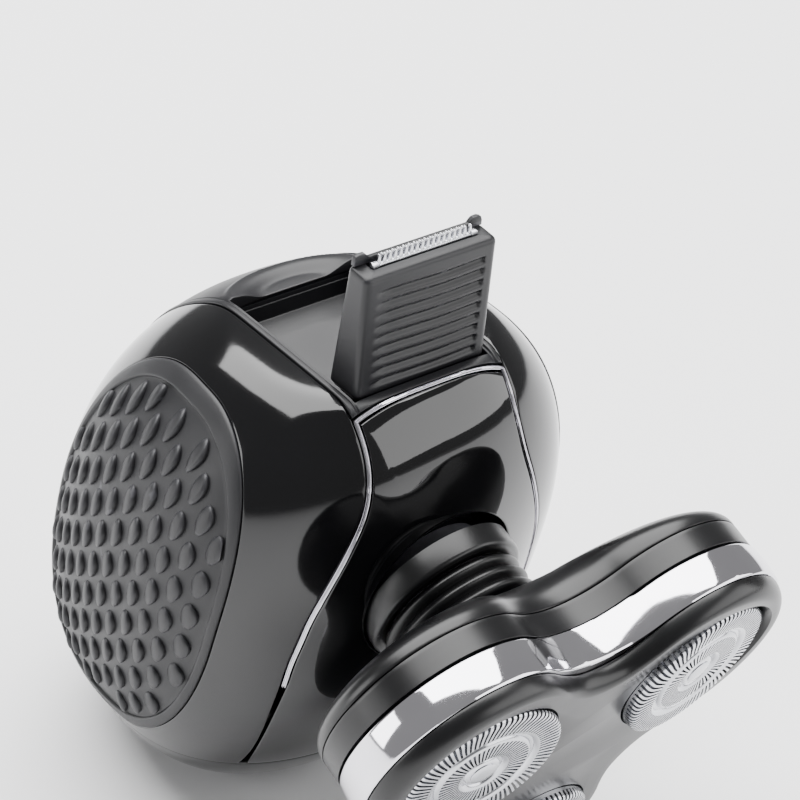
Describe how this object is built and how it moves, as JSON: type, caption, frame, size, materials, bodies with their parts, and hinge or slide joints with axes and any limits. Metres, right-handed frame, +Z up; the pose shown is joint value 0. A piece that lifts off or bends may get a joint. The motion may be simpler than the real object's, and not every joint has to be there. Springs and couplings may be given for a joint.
{
  "type": "electric shaver",
  "caption": "Palm-held rotary head shaver with a rounded body, rubber side grips, a fold-down hair trimmer on the spine and a floating lobed shaving head on a ribbed neck.",
  "frame": {"origin": "centre of the footprint box, on the surface that the belly rests on", "axes": "+Z up, -Y towards the shaving head at the front, X across the body"},
  "size_m": [0.0714, 0.106, 0.101],
  "materials": {
    "gloss_black": "high-gloss injection-moulded ABS",
    "satin_black": "satin fine-textured plastic",
    "panel_gloss": "mirror-gloss moulded panel",
    "grip_rubber": "matte overmoulded rubber with leaf-shaped bumps",
    "chrome": "bright plated trim",
    "foil_steel": "ground and etched stainless steel",
    "blade_steel": "ground blade steel",
    "spring_steel": "drawn spring steel",
    "bellows_rubber": "soft silicone rubber",
    "inner_plastic": "plain moulded structural plastic",
    "gear_plastic": "natural acetal",
    "board": "green solder mask",
    "cell_wrap": "shrink-wrapped cell",
    "window_lens": "smoked light guide"
  },
  "bodies": {
    "root": {"left_shell": "gloss_black", "right_shell": "gloss_black", "spine": "satin_black", "front_panel": "panel_gloss", "belly_cover": "gloss_black", "left_grip": "grip_rubber", "right_grip": "grip_rubber", "chrome_piping": "chrome", "recess_tray": "satin_black", "trimmer_lugs": "inner_plastic", "inner_chassis": "inner_plastic", "battery_cell": "cell_wrap", "circuit_board": "board", "drive_motor": "spring_steel", "neck_collar": "gloss_black", "neck_tube": "inner_plastic", "neck_bellows": "bellows_rubber", "charge_socket": "blade_steel", "charge_window": "window_lens", "shell_screws": "blade_steel", "button_spring": "spring_steel", "trimmer_detent": "spring_steel"},
    "button": {"power_button": "satin_black"},
    "trimmer": {"trimmer_housing": "satin_black", "trimmer_pin": "blade_steel", "trimmer_back_plate": "satin_black", "trimmer_fixed_blade": "blade_steel"},
    "moving_blade": {"trimmer_moving_blade": "blade_steel"},
    "drive": {"drive_shaft": "spring_steel"},
    "gimbal": {"gimbal_ring": "inner_plastic"},
    "head": {"head_cover": "satin_black", "head_ring": "satin_black", "chrome_band": "chrome", "head_hub": "inner_plastic", "gear_plate": "inner_plastic", "gear_cover": "inner_plastic", "cutter_springs": "spring_steel"},
    "centre": {"centre_gear": "gear_plastic"},
    "shaving_frame": {"foil_frame": "satin_black"},
    "gear_1": {"cutter_gear_1": "gear_plastic"},
    "foil_1": {"foil_1": "foil_steel"},
    "cutter_1": {"cutter_1": "blade_steel"},
    "gear_2": {"cutter_gear_2": "gear_plastic"},
    "foil_2": {"foil_2": "foil_steel"},
    "cutter_2": {"cutter_2": "blade_steel"},
    "gear_3": {"cutter_gear_3": "gear_plastic"},
    "foil_3": {"foil_3": "foil_steel"},
    "cutter_3": {"cutter_3": "blade_steel"}
  },
  "joints": [
    {"name": "trimmer_fold", "type": "hinge", "parent": "root", "child": "trimmer", "pos_m": [0, -0.00385, 0.0768], "axis": [1, 0, 0], "range_deg": [-90, 0]},
    {"name": "blade_stroke", "type": "slide", "parent": "trimmer", "child": "moving_blade", "axis": [1, 0, 0], "range_m": [-0.0008, 0.0008]},
    {"name": "power_press", "type": "slide", "parent": "root", "child": "button", "axis": [0, -1, 0], "range_m": [0, 0.001], "stiffness_N_per_m": 800},
    {"name": "motor_spin", "type": "hinge", "parent": "root", "child": "drive", "pos_m": [0, -0.01905, 0.0479], "axis": [0, -0.9421, -0.3355], "continuous": true},
    {"name": "head_tilt", "type": "hinge", "parent": "root", "child": "gimbal", "pos_m": [0, -0.02244, 0.04669], "axis": [1, 0, 0], "range_deg": [-8, 8], "stiffness_Nm_per_rad": 0.6, "deforming": ["neck_bellows"]},
    {"name": "head_roll", "type": "hinge", "parent": "gimbal", "child": "head", "pos_m": [0, -0.02244, 0.04669], "axis": [0, -0.3355, 0.9421], "range_deg": [-8, 8], "stiffness_Nm_per_rad": 0.6, "deforming": ["neck_bellows"]},
    {"name": "centre_gear_spin", "type": "hinge", "parent": "head", "child": "centre", "pos_m": [0, -0.02244, 0.04669], "axis": [0, -0.9421, -0.3355], "continuous": true},
    {"name": "frame_pull", "type": "slide", "parent": "head", "child": "shaving_frame", "axis": [0, -0.9421, -0.3355], "range_m": [0, 0.01]},
    {"name": "gear_1_spin", "type": "hinge", "parent": "head", "child": "gear_1", "pos_m": [0.01871, -0.04378, 0.05056], "axis": [0, -0.9421, -0.3355], "continuous": true},
    {"name": "foil_1_float", "type": "slide", "parent": "shaving_frame", "child": "foil_1", "axis": [-0.086, 0.9541, 0.287], "range_m": [0, 0.0012], "stiffness_N_per_m": 300},
    {"name": "cutter_1_spin", "type": "hinge", "parent": "foil_1", "child": "cutter_1", "pos_m": [0.01871, -0.04378, 0.05056], "axis": [0.086, -0.9541, -0.287], "continuous": true},
    {"name": "gear_2_spin", "type": "hinge", "parent": "head", "child": "gear_2", "pos_m": [-0.01871, -0.04378, 0.05056], "axis": [0, -0.9421, -0.3355], "continuous": true},
    {"name": "foil_2_float", "type": "slide", "parent": "shaving_frame", "child": "foil_2", "axis": [0.086, 0.9541, 0.287], "range_m": [0, 0.0012], "stiffness_N_per_m": 300},
    {"name": "cutter_2_spin", "type": "hinge", "parent": "foil_2", "child": "cutter_2", "pos_m": [-0.01871, -0.04378, 0.05056], "axis": [-0.086, -0.9541, -0.287], "continuous": true},
    {"name": "gear_3_spin", "type": "hinge", "parent": "head", "child": "gear_3", "pos_m": [0, -0.03291, 0.02004], "axis": [0, -0.9421, -0.3355], "continuous": true},
    {"name": "foil_3_float", "type": "slide", "parent": "shaving_frame", "child": "foil_3", "axis": [0, 0.9041, 0.4274], "range_m": [0, 0.0012], "stiffness_N_per_m": 300},
    {"name": "cutter_3_spin", "type": "hinge", "parent": "foil_3", "child": "cutter_3", "pos_m": [0, -0.03291, 0.02004], "axis": [0, -0.9041, -0.4274], "continuous": true}
  ],
  "couplings": [
    {"joint": "centre_gear_spin", "follows": "motor_spin", "ratio": 1},
    {"joint": "gear_1_spin", "follows": "motor_spin", "ratio": -0.8},
    {"joint": "cutter_1_spin", "follows": "motor_spin", "ratio": -0.8},
    {"joint": "gear_2_spin", "follows": "motor_spin", "ratio": -0.8},
    {"joint": "cutter_2_spin", "follows": "motor_spin", "ratio": -0.8},
    {"joint": "gear_3_spin", "follows": "motor_spin", "ratio": -0.8},
    {"joint": "cutter_3_spin", "follows": "motor_spin", "ratio": -0.8}
  ]
}
